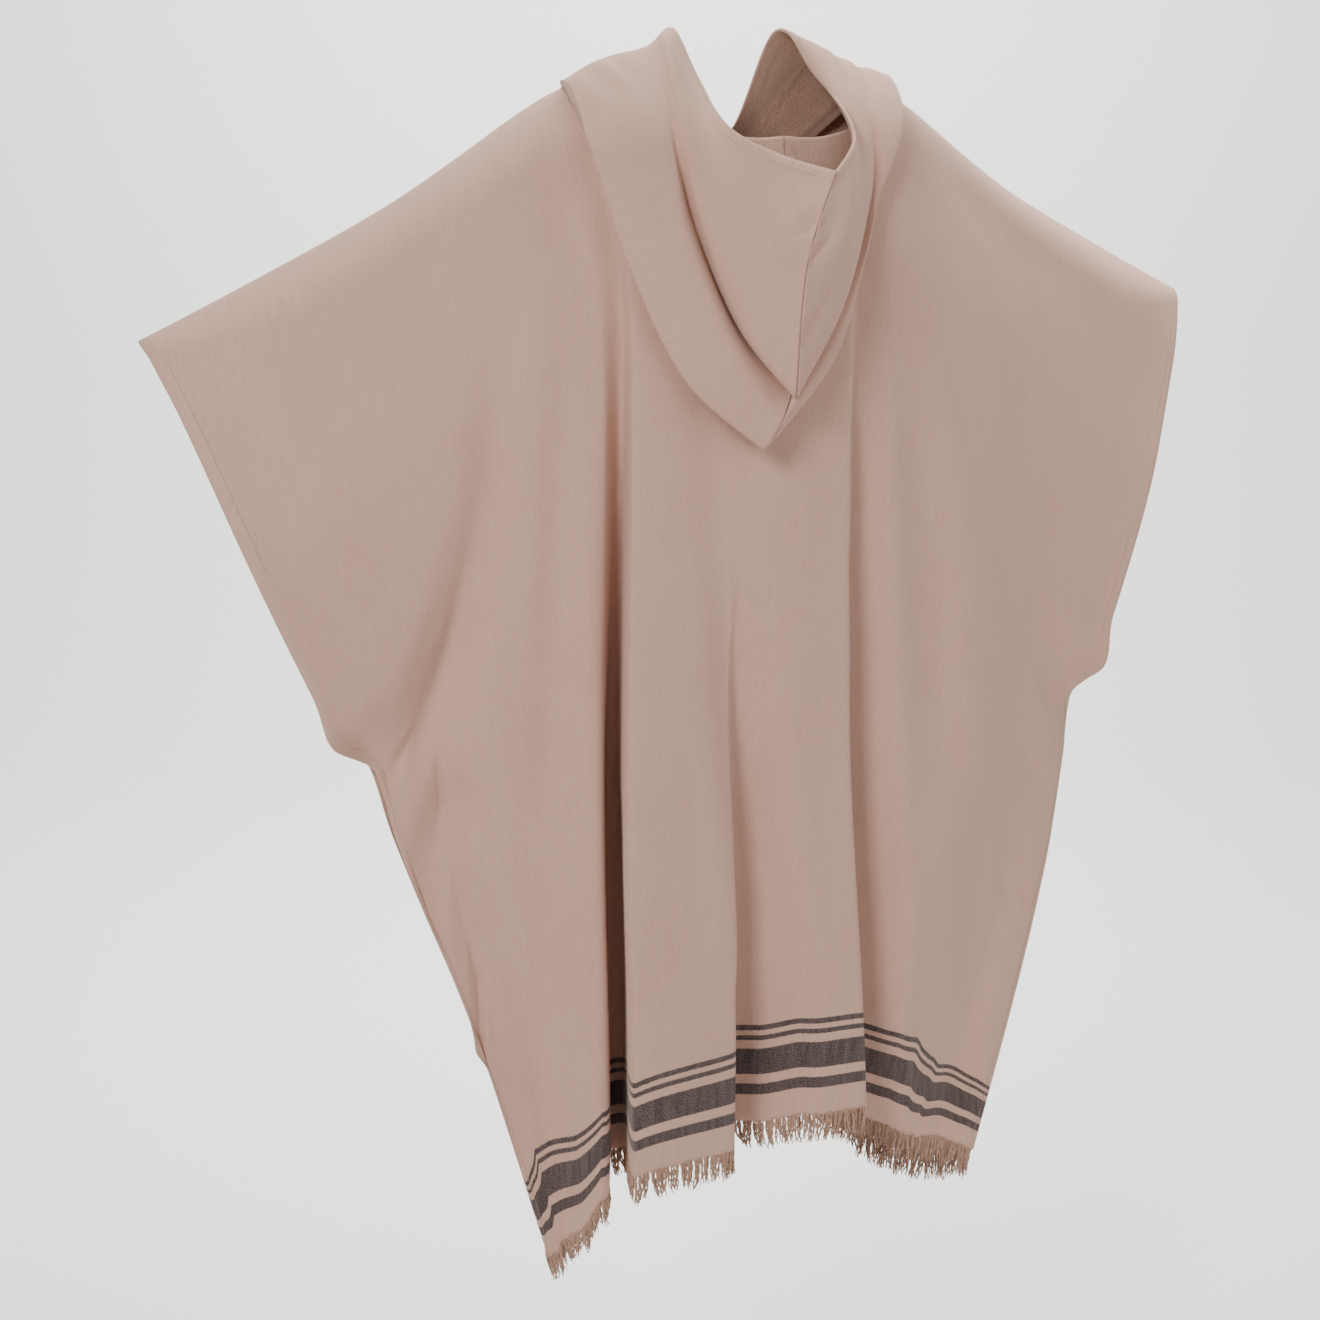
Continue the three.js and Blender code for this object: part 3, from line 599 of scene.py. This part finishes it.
# Flat-woven cotton, piece-dyed and washed: dry, matt, a short nap that catches light at the edges,
# fine crossing yarns and a faint streak along the warp. With bands it has charcoal weft stripes.
def flatWovenCotton(name, bands):
    material, tree, shader = newMaterial(name, roughness=0.92, sheen=0.28, sheenHex="#E2D3C6")
    yarn = clothVector(tree, weave["yarnMm"], weave["yarnMm"])
    grain = addNode(tree, "TexNoise", planar, {
        "Vector": clothVector(tree, *weave["grainMm"]), "Scale": 1.0, "Detail": 2.0})
    streak = addNode(tree, "TexNoise", planar, {
        "Vector": clothVector(tree, *weave["streakMm"]), "Scale": 1.0, "Detail": 2.0})
    blotch = addNode(tree, "TexNoise", planar, {
        "Vector": clothVector(tree, *weave["blotchMm"]), "Scale": 1.0, "Detail": 3.0})
    fine = addNode(tree, "Math", multiplyAdd, {0: streak.outputs["Fac"], 1: 0.45, 2: 0.02})
    fine = addNode(tree, "Math", multiplyAdd, {0: grain.outputs["Fac"], 1: 0.55, 2: fine.outputs[0]})
    tone = addNode(tree, "MapRange", {}, {"Value": fine.outputs[0], "From Min": 0.32, "From Max": 0.70})
    colour = addNode(tree, "Mix", rgba, {
        0: tone.outputs["Result"], 6: paint(dye["bodyDark"]), 7: paint(dye["bodyLight"])})
    soft = addNode(tree, "Mix", rgba, {0: 0.62, 6: colour.outputs[2], 7: paint(dye["body"])})
    wide = addNode(tree, "MapRange", {}, {
        "Value": blotch.outputs["Fac"], "From Min": 0.3, "From Max": 0.7, "To Max": 0.22})
    colour = addNode(tree, "Mix", rgba, {
        0: wide.outputs["Result"], 6: soft.outputs[2], 7: paint(dye["bodyDark"])}).outputs[2]
    if bands:
        place = addNode(tree, "UVMap", {"uv_map": "cloth"})
        parts = addNode(tree, "SeparateXYZ", {}, {0: place.outputs["UV"]})
        fuzz = addNode(tree, "TexNoise", planar, {
            "Vector": clothVector(tree, *weave["fuzzGrainMm"]), "Scale": 1.0, "Detail": 1.0})
        stray = addNode(tree, "Math", multiplyAdd, {
            0: fuzz.outputs["Fac"], 1: weave["fuzzMm"] * 0.001, 2: -weave["fuzzMm"] * 0.0005})
        height = addNode(tree, "Math", {"operation": "ADD"}, {0: parts.outputs[1], 1: stray.outputs[0]})
        full = 0.11                 # metres of the ramp, past the highest band
        along = addNode(tree, "MapRange", {}, {"Value": height.outputs[0], "From Max": full})
        ramp = addNode(tree, "ValToRGB", {}, {0: along.outputs["Result"]})
        stops = ramp.color_ramp.elements
        stops[1].color = (0, 0, 0, 1)
        for low, high in bands:
            for mark, value in ((low - 0.3, 0), (low + 0.3, 1), (high - 0.3, 1), (high + 0.3, 0)):
                stop = stops.new(mark * 0.001 / full)
                stop.color = (value, value, value, 1)
        heather = addNode(tree, "TexNoise", planar, {
            "Vector": clothVector(tree, *weave["fleckMm"]), "Scale": 1.0, "Detail": 2.0, "Roughness": 0.7})
        warp = addNode(tree, "TexNoise", planar, {
            "Vector": clothVector(tree, *weave["warpMm"]), "Scale": 1.0, "Detail": 1.0})
        fleck = addNode(tree, "Math", multiplyAdd, {
            0: warp.outputs["Fac"], 1: 0.2, 2: heather.outputs["Fac"]})
        fleck = addNode(tree, "MapRange", {}, {
            "Value": fleck.outputs[0], "From Min": 0.46, "From Max": 0.76})
        dark = addNode(tree, "Mix", rgba, {
            0: fleck.outputs["Result"], 6: paint(dye["stripe"]), 7: paint(dye["stripeFleck"])})
        colour = addNode(tree, "Mix", rgba, {
            0: ramp.outputs["Color"], 6: colour, 7: dark.outputs[2]}).outputs[2]
    tree.links.new(colour, shader.inputs["Base Color"])
    yarns = [addNode(tree, "TexWave", {"bands_direction": axis}, {
        "Vector": yarn, "Scale": 0.5, "Distortion": 0.6, "Detail": 1.0}).outputs["Fac"] for axis in "XY"]
    crossing = addNode(tree, "Math", {"operation": "MAXIMUM"}, {0: yarns[0], 1: yarns[1]})
    relief = addNode(tree, "Math", multiplyAdd, {0: fine.outputs[0], 1: 1.6, 2: crossing.outputs[0]})
    bump = addNode(tree, "Bump", {}, {"Height": relief.outputs[0], "Strength": 0.22, "Distance": 0.0004})
    tree.links.new(bump.outputs["Normal"], shader.inputs["Normal"])
    return material


# Looped cotton terry: uncut loops stand up from the ground cloth. The colour goes darker away from each
# loop's middle: painted shade in the hollows between the loops, varied by patches of loops that lean
# together.
def loopedTerry(name):
    material, tree, shader = newMaterial(name, roughness=0.97, sheen=0.35, sheenHex="#E6D8CB")
    loops = addNode(tree, "TexVoronoi", {"voronoi_dimensions": "2D"}, {
        "Vector": clothVector(tree, weave["loopMm"], weave["loopMm"]), "Scale": 1.0, "Randomness": 0.85})
    lean = addNode(tree, "TexNoise", planar, {
        "Vector": clothVector(tree, *weave["tuftMm"]), "Scale": 1.0, "Detail": 2.0})
    shade = addNode(tree, "MapRange", {}, {
        "Value": loops.outputs["Distance"], "From Min": 0.15, "From Max": 0.75})
    mixed = addNode(tree, "Math", {"operation": "MULTIPLY"}, {
        0: shade.outputs["Result"], 1: lean.outputs["Fac"]})
    # painted shade: the colour darkens away from each loop's middle into the hollows between loops
    colour = addNode(tree, "Mix", rgba, {
        0: mixed.outputs[0], 6: paint(dye["terry"]), 7: paint(dye["terryPaintedShade"])})
    tree.links.new(colour.outputs[2], shader.inputs["Base Color"])
    drop = addNode(tree, "Math", {"operation": "MULTIPLY"}, {0: loops.outputs["Distance"], 1: -1.0})
    bump = addNode(tree, "Bump", {}, {"Height": drop.outputs[0], "Strength": 0.7, "Distance": 0.0012})
    tree.links.new(bump.outputs["Normal"], shader.inputs["Normal"])
    return material


# Two-ply cotton yarn left loose at the hem: fibres run along it and its twist shades it.
def looseYarn(name, light, deep):
    material, tree, shader = newMaterial(name, roughness=0.95, sheen=0.3, sheenHex="#E2D3C6")
    fibre = addNode(tree, "TexNoise", planar, {
        "Vector": clothVector(tree, *weave["fibreMm"]), "Scale": 1.0, "Detail": 2.0})
    tone = addNode(tree, "MapRange", {}, {
        "Value": fibre.outputs["Fac"], "From Min": 0.35, "From Max": 0.65})
    colour = addNode(tree, "Mix", rgba, {0: tone.outputs["Result"], 6: paint(deep), 7: paint(light)})
    tree.links.new(colour.outputs[2], shader.inputs["Base Color"])
    bump = addNode(tree, "Bump", {}, {
        "Height": fibre.outputs["Fac"], "Strength": 0.4, "Distance": 0.0004})
    tree.links.new(bump.outputs["Normal"], shader.inputs["Normal"])
    return material


stripedCotton = flatWovenCotton("striped_flat_woven_cotton", stripes)
plainCotton = flatWovenCotton("plain_flat_woven_cotton", [])
terryInside = loopedTerry("looped_cotton_terry")
fringeYarn = looseYarn("loose_cotton_yarn", dye["fringe"], dye["fringeDeep"])
sewingThread = looseYarn("spun_sewing_thread", dye["thread"], dye["fringeDeep"])
print("materials made")

panelMesh = {
    "rows": 190,
    "cuffHem": 12.0,
    "hemExtra": 0.55,           # what a folded hem adds to each face
    "waviness": 1.3,
    "edgeRound": 0.8,           # share of the half thickness by which an edge is rounded
}


def bodyPanel(panel, name):
    facing = panel["facing"]
    grid, distance, out = panelSurface(panel, panelMesh["rows"])
    away = np.abs(out)
    normals = gridNormals(grid)
    towards = np.sign(np.median(normals[..., 1])) * facing
    normals = normals * towards
    # soft creases and a slow waviness, none at the seams or round the neck
    places = np.stack([grid[..., 0], distance], -1)
    clearOfSeams = ease((cut["halfWidth"] - away) / 26) * ease(distance / 60)
    clearOfNeck = ease((distance - distance[0]) / 40)
    rise = creaseRise(places, panel["creases"])
    rise = rise + panelMesh["waviness"] * unevenness(grid[..., 0], distance, 5 + facing)
    grid = grid + normals * (rise * clearOfSeams * clearOfNeck)[..., None]
    normals = gridNormals(grid) * towards
    sewn = distance[:, 0] >= cut["armhole"]
    for j in (0, -1):
        normals[sewn, j] = (0, facing, 0)
    onSeam = away >= cut["neckHalf"]
    normals[0, onSeam, 1] = 0
    normals[0, onSeam] /= np.linalg.norm(normals[0, onSeam], axis=-1, keepdims=True)
    # folded hems make the cloth thicker at the cuffs
    across = arcAcross(grid)
    fromSide = np.minimum(across, across[:, -1:] - across)
    openSide = (distance < cut["armhole"] - 12)
    hem = ease((panelMesh["cuffHem"] - fromSide) / 1.5) * openSide * ease((distance - 12) / 20)
    half = cut["wall"] / 2 + panelMesh["hemExtra"] * hem
    middle = across - across[:, -1:] / 2
    uv = np.stack([middle, cut["drop"] - distance], -1)
    edge = panelMesh["edgeRound"]
    edges = (np.where(away < cut["neckHalf"] - 2, edge, 0.0), edge, edge, edge)
    piece = clothWall(name, grid, normals, half, uv, [stripedCotton, terryInside], edges)
    return {
        "piece": piece, "grid": grid, "normals": normals, "distance": distance, "out": out,
        "facing": facing, "half": half,
    }


back = bodyPanel(backPanel, "poncho_back")
front = bodyPanel(frontPanel, "poncho_front")
print("body panels made")


def blend(rows, i, share):
    return rows[i] * (1 - share) + rows[i + 1] * share


# where the hood's seam edge lies on a panel's neck, for a place on the shoulder seam
def neckPoint(out, panel):
    i = int(np.clip(np.searchsorted(panel["out"], out, side="right") - 1, 0, len(panel["out"]) - 2))
    share = (out - panel["out"][i]) / (panel["out"][i + 1] - panel["out"][i])
    edge = blend(panel["grid"][0], i, share)
    if panel["facing"] < 0:
        lower = blend(panel["grid"][18], i, share)
        return edge + unit(edge - lower) * cut["neckButt"]
    lift = unit(blend(panel["normals"][0], i, share))
    if lift[1] + lift[2] < 0:
        lift = -lift
    return edge + lift * (cut["neckLift"] + bell((abs(out) - cut["neckHalf"]) / 30))


def neckLine(side, steps):
    knots = [(out, front) for out in neckFrontOuts] + [(out, back) for out in neckBackOuts]
    line = []
    for i in range(len(knots) - 1):
        panel = back if i >= len(neckFrontOuts) - 1 else front
        for j in range(steps):
            out = knots[i][0] + (knots[i + 1][0] - knots[i][0]) * j / steps
            line.append(neckPoint(side * out, panel))
    line.append(neckPoint(0.0, back))
    return np.array(line)


def hoodSurface(hood):
    lines = [thread(row, hoodMesh["across"]) for row in hood["rows"]]
    lines.append(neckLine(hood["side"], hoodMesh["across"]))
    grid = thread(np.array(lines), hoodMesh["down"])
    count = grid.shape[1]
    # the creases lie in the table's own steps, measured in millimetres round each of them
    normals = gridNormals(grid)
    rise = np.zeros(grid.shape[:2])
    rowOf = np.arange(grid.shape[0])[:, None] / hoodMesh["down"]
    for height, width, run in hood["creases"]:
        path = np.array([
            grid[round(r * hoodMesh["down"]), min(round(c * hoodMesh["across"]), count - 1)]
            for c, r in run])
        nearest, along = fromRun(grid, path)
        middleRow = sum(r for _, r in run) / len(run)
        sameLayer = ease((1.3 - np.abs(rowOf - middleRow)) / 0.4)
        ends = ease(0.25 + along / 0.4) * ease((1 - along) / 0.5)
        rise += height * ends * bell(nearest / (1.6 * width)) * sameLayer
    return grid, normals, rise


halves = [hoodSurface(hoodLeft), hoodSurface(hoodRight)]
# outwards on both: up, back and away from the middle at a place near the face edge
hoodNormals = []
for (grid, normals, rise), side in zip(halves, (1, -1)):
    outwards = np.array([side * 0.8, 0.5, 0.3])
    sign = np.sign(normals[2 * hoodMesh["down"], 3 * hoodMesh["across"]] @ outwards)
    row = np.arange(len(grid))[:, None]
    clearOfEdges = ease(row / 6) * ease((len(grid) - 1 - row) / 12)
    grid += (normals * sign) * (rise * clearOfEdges)[..., None]
    hoodNormals.append(gridNormals(grid) * sign)
# both halves share their way out along the crown seam and are drawn back from it by half a gap
shared = hoodNormals[0][:, -1] + hoodNormals[1][:, -1]
shared /= np.linalg.norm(shared, axis=1, keepdims=True)
for (grid, _, _), normals in zip(halves, hoodNormals):
    normals[:, -1] = shared
    runWay = np.gradient(grid[:, -1], axis=0)
    fromSeam = np.cross(runWay, shared)
    fromSeam /= np.linalg.norm(fromSeam, axis=1, keepdims=True)
    inwards = grid[:, -2] - grid[:, -1]
    fromSeam *= np.sign(np.einsum("ij,ij->i", fromSeam, inwards))[:, None]
    grid[:, -1] += fromSeam * cut["seamGap"] * 1.2

hoods = []
for (grid, _, _), normals, name in zip(halves, hoodNormals, ("hood_left_half", "hood_right_half")):
    downs = arcAcross(grid.transpose(1, 0, 2)).T
    fromCrown = arcAcross(grid)[:, -1:] - arcAcross(grid)
    hem = ease((hoodMesh["hemWidth"] - downs) / 1.4)
    rib = bell((fromCrown - 4) / 5)
    half = cut["wall"] / 2 + hoodMesh["hemExtra"] * hem + hoodMesh["ribExtra"] * rib
    uv = np.stack([fromCrown, hoodMesh["stripeClear"] + downs], -1)
    edges = (np.full(grid.shape[1], 0.8), 0.0, 0.5, 0.0)
    piece = clothWall(name, grid, normals, half, uv, [plainCotton, terryInside], edges)
    hoods.append({"piece": piece, "grid": grid, "normals": normals, "half": half})
print("hood made")

stitch = {
    "pitch": 3.0,
    "length": 2.2,
    "radius": 0.32,
    "hoodInset": 9.3,           # from the edge of the cloth to the row of stitches
    "cuffInset": 9.6,
    "sideInset": 7.0,
}


# a run of short rounded stitches that lie on the cloth
def stitchRun(name, points, lifts):
    points, lifts = np.asarray(points), np.asarray(lifts)
    length = arcAcross(points[None])[0]
    count = int(length[-1] / stitch["pitch"])
    verts, faces, uvs = [], [], []
    for k in range(count):
        middle = (k + 0.5) * stitch["pitch"]
        ends = [middle - stitch["length"] / 2, middle, middle + stitch["length"] / 2]
        at = [pointAt(end, length, points) for end in ends]
        lift = unit(pointAt(middle, length, lifts))
        way = unit(at[2] - at[0])
        side = np.cross(lift, way)
        start = len(verts)
        for ring, (point, size, height) in enumerate(zip(at, (0.45, 1.0, 0.45), (0.0, 0.16, 0.0))):
            for m in range(6):
                angle = m * math.pi / 3
                offset = (side * math.cos(angle) + lift * math.sin(angle)) * stitch["radius"] * size
                verts.append(point + offset + lift * height)
                uvs.append((m * 0.4, ends[ring]))
        for ring in range(2):
            for m in range(6):
                n = (m + 1) % 6
                a = start + ring * 6
                faces.append([a + m, a + n, a + 6 + n, a + 6 + m])
        faces.append([start + m for m in range(5, -1, -1)])
        faces.append([start + 12 + m for m in range(6)])
    return meshObject(name, verts, faces, [sewingThread], None, uvs)


# Points of a line a set distance in from an edge of a grid, lifted to the outer face of the cloth.
# axis 0 goes in down the columns, axis 1 along the rows.
def alongEdge(piece, inset, rows, columns, axis):
    grid, normals, half = piece["grid"], piece["normals"], piece["half"]
    points, lifts = [], []
    for i in rows:
        for j in columns:
            line = grid[:, j] if axis == 0 else grid[i]
            start = i if axis == 0 else j
            step = 1 if start == 0 else -1
            k, gone = start, 0.0
            while gone < inset:
                gone += np.linalg.norm(line[k + step] - line[k])
                k += step
            p, q = (k, j) if axis == 0 else (i, k)
            past = unit(line[k] - line[k - step]) * (gone - inset)
            points.append(grid[p, q] - past + normals[p, q] * (half[p, q] + 0.05))
            lifts.append(normals[p, q])
    return points, lifts


stitching = []
for hood, name in zip(hoods, ("left", "right")):
    columns = range(2, hood["grid"].shape[1] - 1)
    run = alongEdge(hood, stitch["hoodInset"], [0], columns, 0)
    stitching.append(stitchRun(f"hood_hem_stitch_{name}", *run))
for panel, name in ((back, "back"), (front, "front")):
    down = panel["distance"][:, 0]
    openRows = np.flatnonzero((down > 16) & (down < cut["armhole"] - 12))
    sewnRows = np.flatnonzero(down > cut["armhole"] + 4)
    for j, sideName in ((0, "right"), (len(panel["out"]) - 1, "left")):
        run = alongEdge(panel, stitch["cuffInset"], openRows, [j], 1)
        stitching.append(stitchRun(f"cuff_hem_stitch_{name}_{sideName}", *run))
        run = alongEdge(panel, stitch["sideInset"], sewnRows, [j], 1)
        stitching.append(stitchRun(f"side_seam_stitch_{name}_{sideName}", *run))
print("stitching made")

fringe = {
    "perHem": 330,
    "length": 29.0,
    "plies": 2,
    "plyRadius": 0.95,
    "twistMm": 19.0,            # one turn of the plies round each other
    "steps": 10,
    "sides": 5,
    "clump": (2, 5),            # strands that hang together
    "root": 1.2,                # how far a strand reaches up into the hem
}


def fringeOf(panel, name, seed):
    random.seed(seed)
    grid, normals = panel["grid"], panel["normals"]
    hem, above = grid[-1], grid[-4]
    length = arcAcross(hem[None])[0]
    verts, faces, uvs = [], [], []
    clumps = []
    while len(clumps) < fringe["perHem"]:
        size, sway = random.randint(*fringe["clump"]), random.gauss(0, 2.4)
        clumps += [(sway, m - (size - 1) / 2) for m in range(size)]
    for k in range(fringe["perHem"]):
        want = 3 + (length[-1] - 6) * (k + random.uniform(-0.3, 0.3) + 0.5) / fringe["perHem"]
        root = pointAt(want, length, hem)
        through = unit(pointAt(want, length, normals[-1]))
        down = unit(root - pointAt(want, length, above))
        down = unit(down + np.array([0, 0, -0.25]))
        along = unit(np.cross(down, through))
        reach = fringe["length"] * random.uniform(0.80, 1.0)
        # the strands of a clump draw together towards their ends
        sway = clumps[k][0] - 1.15 * clumps[k][1] + random.gauss(0, 0.9)
        wave = random.gauss(0, 1.2)
        bulge, wavePhase = random.gauss(0, 1.2), random.uniform(0, 6.28)
        size = random.uniform(0.85, 1.15)
        phase = random.uniform(0, 6.28)
        for ply in range(fringe["plies"]):
            start = len(verts)
            ends = reach * (1.0 if ply == 0 else random.uniform(0.84, 1.0))
            stray = random.gauss(0, 1.1)
            for ring in range(fringe["steps"] + 1):
                t = ring / fringe["steps"]
                gone = -fringe["root"] + (ends + fringe["root"]) * t
                bend = sway * t * t + wave * math.sin(t * 4 + wavePhase) * t + stray * t ** 3
                middle = root + down * gone + along * bend + through * (bulge * math.sin(t * 3.0))
                turn = phase + 2 * math.pi * (ply / fringe["plies"] + gone / fringe["twistMm"])
                spread = fringe["plyRadius"] * size * (0.85 + 0.5 * t * t)
                centre = middle + (along * math.cos(turn) + through * math.sin(turn) * 0.7) * spread * 0.9
                thick = fringe["plyRadius"] * size * (1.0 - 0.55 * t ** 3)
                for m in range(fringe["sides"]):
                    angle = 2 * math.pi * m / fringe["sides"] + turn
                    verts.append(centre + (along * math.cos(angle) + through * math.sin(angle)) * thick)
                    uvs.append((k * 7.0 + m * 1.2, gone))
            n = fringe["sides"]
            for ring in range(fringe["steps"]):
                for m in range(n):
                    a, b = start + ring * n + m, start + ring * n + (m + 1) % n
                    faces.append([a, b, b + n, a + n])
            faces.append([start + m for m in range(n - 1, -1, -1)])
            faces.append([start + fringe["steps"] * n + m for m in range(n)])
    return meshObject(name, verts, faces, [fringeYarn], None, uvs)


backFringe = fringeOf(back, "fringe_back", 21)
frontFringe = fringeOf(front, "fringe_front", 22)
print("fringe made")

# Each piece rides on the one body and stands in for its node.
for piece, node, slot in (
    (back["piece"], "back_panel", "cloth_body"), (front["piece"], "front_panel", "cloth_body"),
    (hoods[0]["piece"], "hood_left", "cloth_hood"), (hoods[1]["piece"], "hood_right", "cloth_hood"),
    (backFringe, "back_fringe", "fringe_yarn"), (frontFringe, "front_fringe", "fringe_yarn"),
):
    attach(piece, "root")
    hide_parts(node)
for piece in stitching:
    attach(piece, "root")


print("pieces attached to the body")

# in metres
stageSizes = {
    "floorZ": -1.46,
    "wallAway": 2.6,
    "bend": 0.9,                # radius between floor and wall
    "steps": 12,
    "front": 6.0,
    "height": 6.0,
    "half": 7.0,                # half the width
    "way": (0.427, 0.904, 0),   # level way from the wall to the camera
}


# a pale floor that bends up into the wall behind
def paleStage():
    wall, bend = stageSizes["wallAway"], stageSizes["bend"]
    profile = [(stageSizes["front"], 0.0)]
    for k in range(stageSizes["steps"] + 1):
        angle = k / stageSizes["steps"] * math.pi / 2
        profile.append((-wall - bend * math.sin(angle), bend * (1 - math.cos(angle))))
    profile.append((-wall - bend, stageSizes["height"]))
    way = Vector(stageSizes["way"])
    side = Vector((way.y, -way.x, 0))
    points, faces = [], []
    for away, up in profile:
        for s in (-1, 1):
            p = way * away + side * (s * stageSizes["half"])
            points.append((p.x * 1000, p.y * 1000, (stageSizes["floorZ"] + up) * 1000))
    for k in range(len(profile) - 1):
        faces.append([2 * k, 2 * k + 1, 2 * k + 3, 2 * k + 2])
    # bent board with a matt white emulsion: no gloss, so that only soft light comes back from it
    material = bpy.data.materials.new("matt_painted_board")
    material.use_nodes = True
    shader = material.node_tree.nodes["Principled BSDF"]
    shader.inputs["Base Color"].default_value = paint("#F4F3F1")
    shader.inputs["Roughness"].default_value = 0.9
    return meshObject("pale_floor", points, faces, [material])


paleStage()


def aimedFrom(place, target):
    return (Vector(target) - Vector(place)).to_track_quat("-Z", "Y").to_euler()


# a square lamp: where it stands, what it points at, width in metres, power in watts
def softLight(name, place, target, size, power):
    data = bpy.data.lights.new(name, "AREA")
    data.shape = "SQUARE"
    data.size = size
    data.energy = power
    lamp = bpy.data.objects.new(name, data)
    lamp.location = place
    lamp.rotation_euler = aimedFrom(place, target)
    bpy.context.scene.collection.objects.link(lamp)


middle = (0.0, 0.0, -0.5)
softLight("key_light", (2.15, 1.75, 1.1), middle, 0.9, 75)
softLight("fill_light", (-0.2, 3.3, 0.8), middle, 2.0, 28)
softLight("right_light", (-2.4, 1.7, 0.6), middle, 2.0, 21)
softLight("rim_light", (-1.5, -2.4, 1.6), middle, 2.0, 20)
softLight("front_light", (1.4, -3.0, 0.7), middle, 2.0, 8)
softLight("backdrop_light", (-0.4, -0.9, 1.5), (-1.2, -2.9, -0.5), 2.4, 230)
world = bpy.data.worlds.new("studio")
world.use_nodes = True
world.node_tree.nodes["Background"].inputs["Color"].default_value = (1, 1, 1, 1)
world.node_tree.nodes["Background"].inputs["Strength"].default_value = 0.11
bpy.context.scene.world = world

# metres, and millimetres for the lens
cameraSet = {"place": (0.899, 1.764, -0.063), "look": (0.069, 0.006, -0.531), "lens": 60.0}
lens = bpy.data.cameras.new("camera")
lens.lens = cameraSet["lens"]
lens.sensor_width = 36.0
lens.dof.use_dof = False
camera = bpy.data.objects.new("camera", lens)
camera.location = cameraSet["place"]
camera.rotation_euler = aimedFrom(cameraSet["place"], cameraSet["look"])
bpy.context.scene.collection.objects.link(camera)
bpy.context.scene.camera = camera
print("stage, light and camera set")
